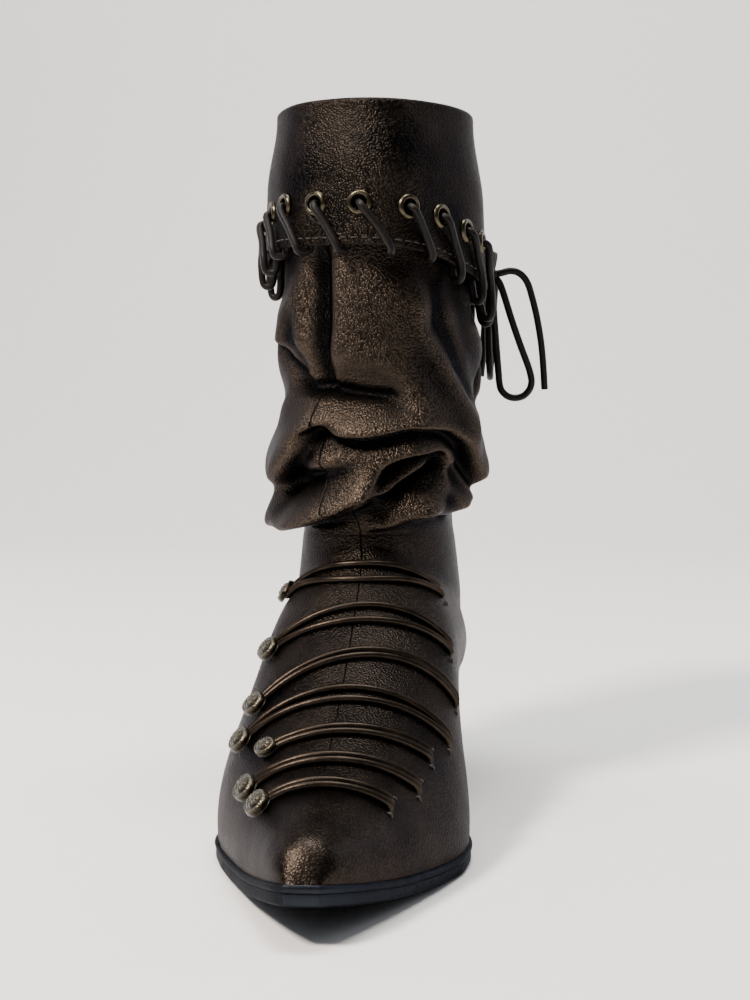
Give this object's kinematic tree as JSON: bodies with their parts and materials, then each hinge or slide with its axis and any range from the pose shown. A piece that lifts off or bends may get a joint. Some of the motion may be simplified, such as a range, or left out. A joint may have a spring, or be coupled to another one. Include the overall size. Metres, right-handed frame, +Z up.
{
  "type": "slouch boot",
  "caption": "Slouched western ankle boot, right foot, with a laced turned-down cuff, corded vamp with oval conchos, pointed toe and low heel.",
  "frame": {"origin": "centre of the heel's underside, on the floor", "axes": "+Z up, the toe points along -Y, +X towards the inner (medial) side of the right foot"},
  "size_m": [0.1102, 0.2891, 0.2541],
  "materials": {
    "leather": "pebbled, metallic bronze sheen",
    "insole": "smooth lining leather",
    "welt": "semi-gloss black",
    "sole": "semi-gloss black",
    "heel": "lacquered stacked heel, semi-gloss black",
    "top_lift": "matt black",
    "lace": "round waxed leather cord",
    "cord": "round cord in the boot's bronze leather",
    "eyelet": "antique",
    "concho": "antique silver, darkened in the recesses"
  },
  "bodies": {
    "root": {"upper": "leather", "cuff": "leather", "insole": "insole", "midsole": "welt", "outsole": "sole", "heel": "heel", "heel_cap": "top_lift", "cuff_lace": "lace", "bow_knot": "lace", "bow_loop_1": "lace", "bow_end_1": "lace", "bow_loop_2": "lace", "bow_end_2": "lace", "eyelet_01": "eyelet", "eyelet_02": "eyelet", "eyelet_03": "eyelet", "eyelet_04": "eyelet", "eyelet_05": "eyelet", "eyelet_06": "eyelet", "eyelet_07": "eyelet", "eyelet_08": "eyelet", "eyelet_09": "eyelet", "eyelet_10": "eyelet", "eyelet_11": "eyelet", "eyelet_12": "eyelet", "eyelet_13": "eyelet", "eyelet_14": "eyelet", "eyelet_15": "eyelet", "eyelet_16": "eyelet", "eyelet_17": "eyelet", "eyelet_18": "eyelet", "eyelet_19": "eyelet", "eyelet_20": "eyelet", "vamp_lace_1": "cord", "vamp_lace_2": "cord", "vamp_lace_3": "cord", "vamp_lace_4": "cord", "vamp_lace_5": "cord", "vamp_lace_6": "cord", "vamp_lace_7": "cord", "concho_1": "concho", "concho_2": "concho", "concho_3": "concho", "concho_4": "concho", "concho_5": "concho", "concho_6": "concho", "concho_7": "concho"}
  },
  "joints": []
}
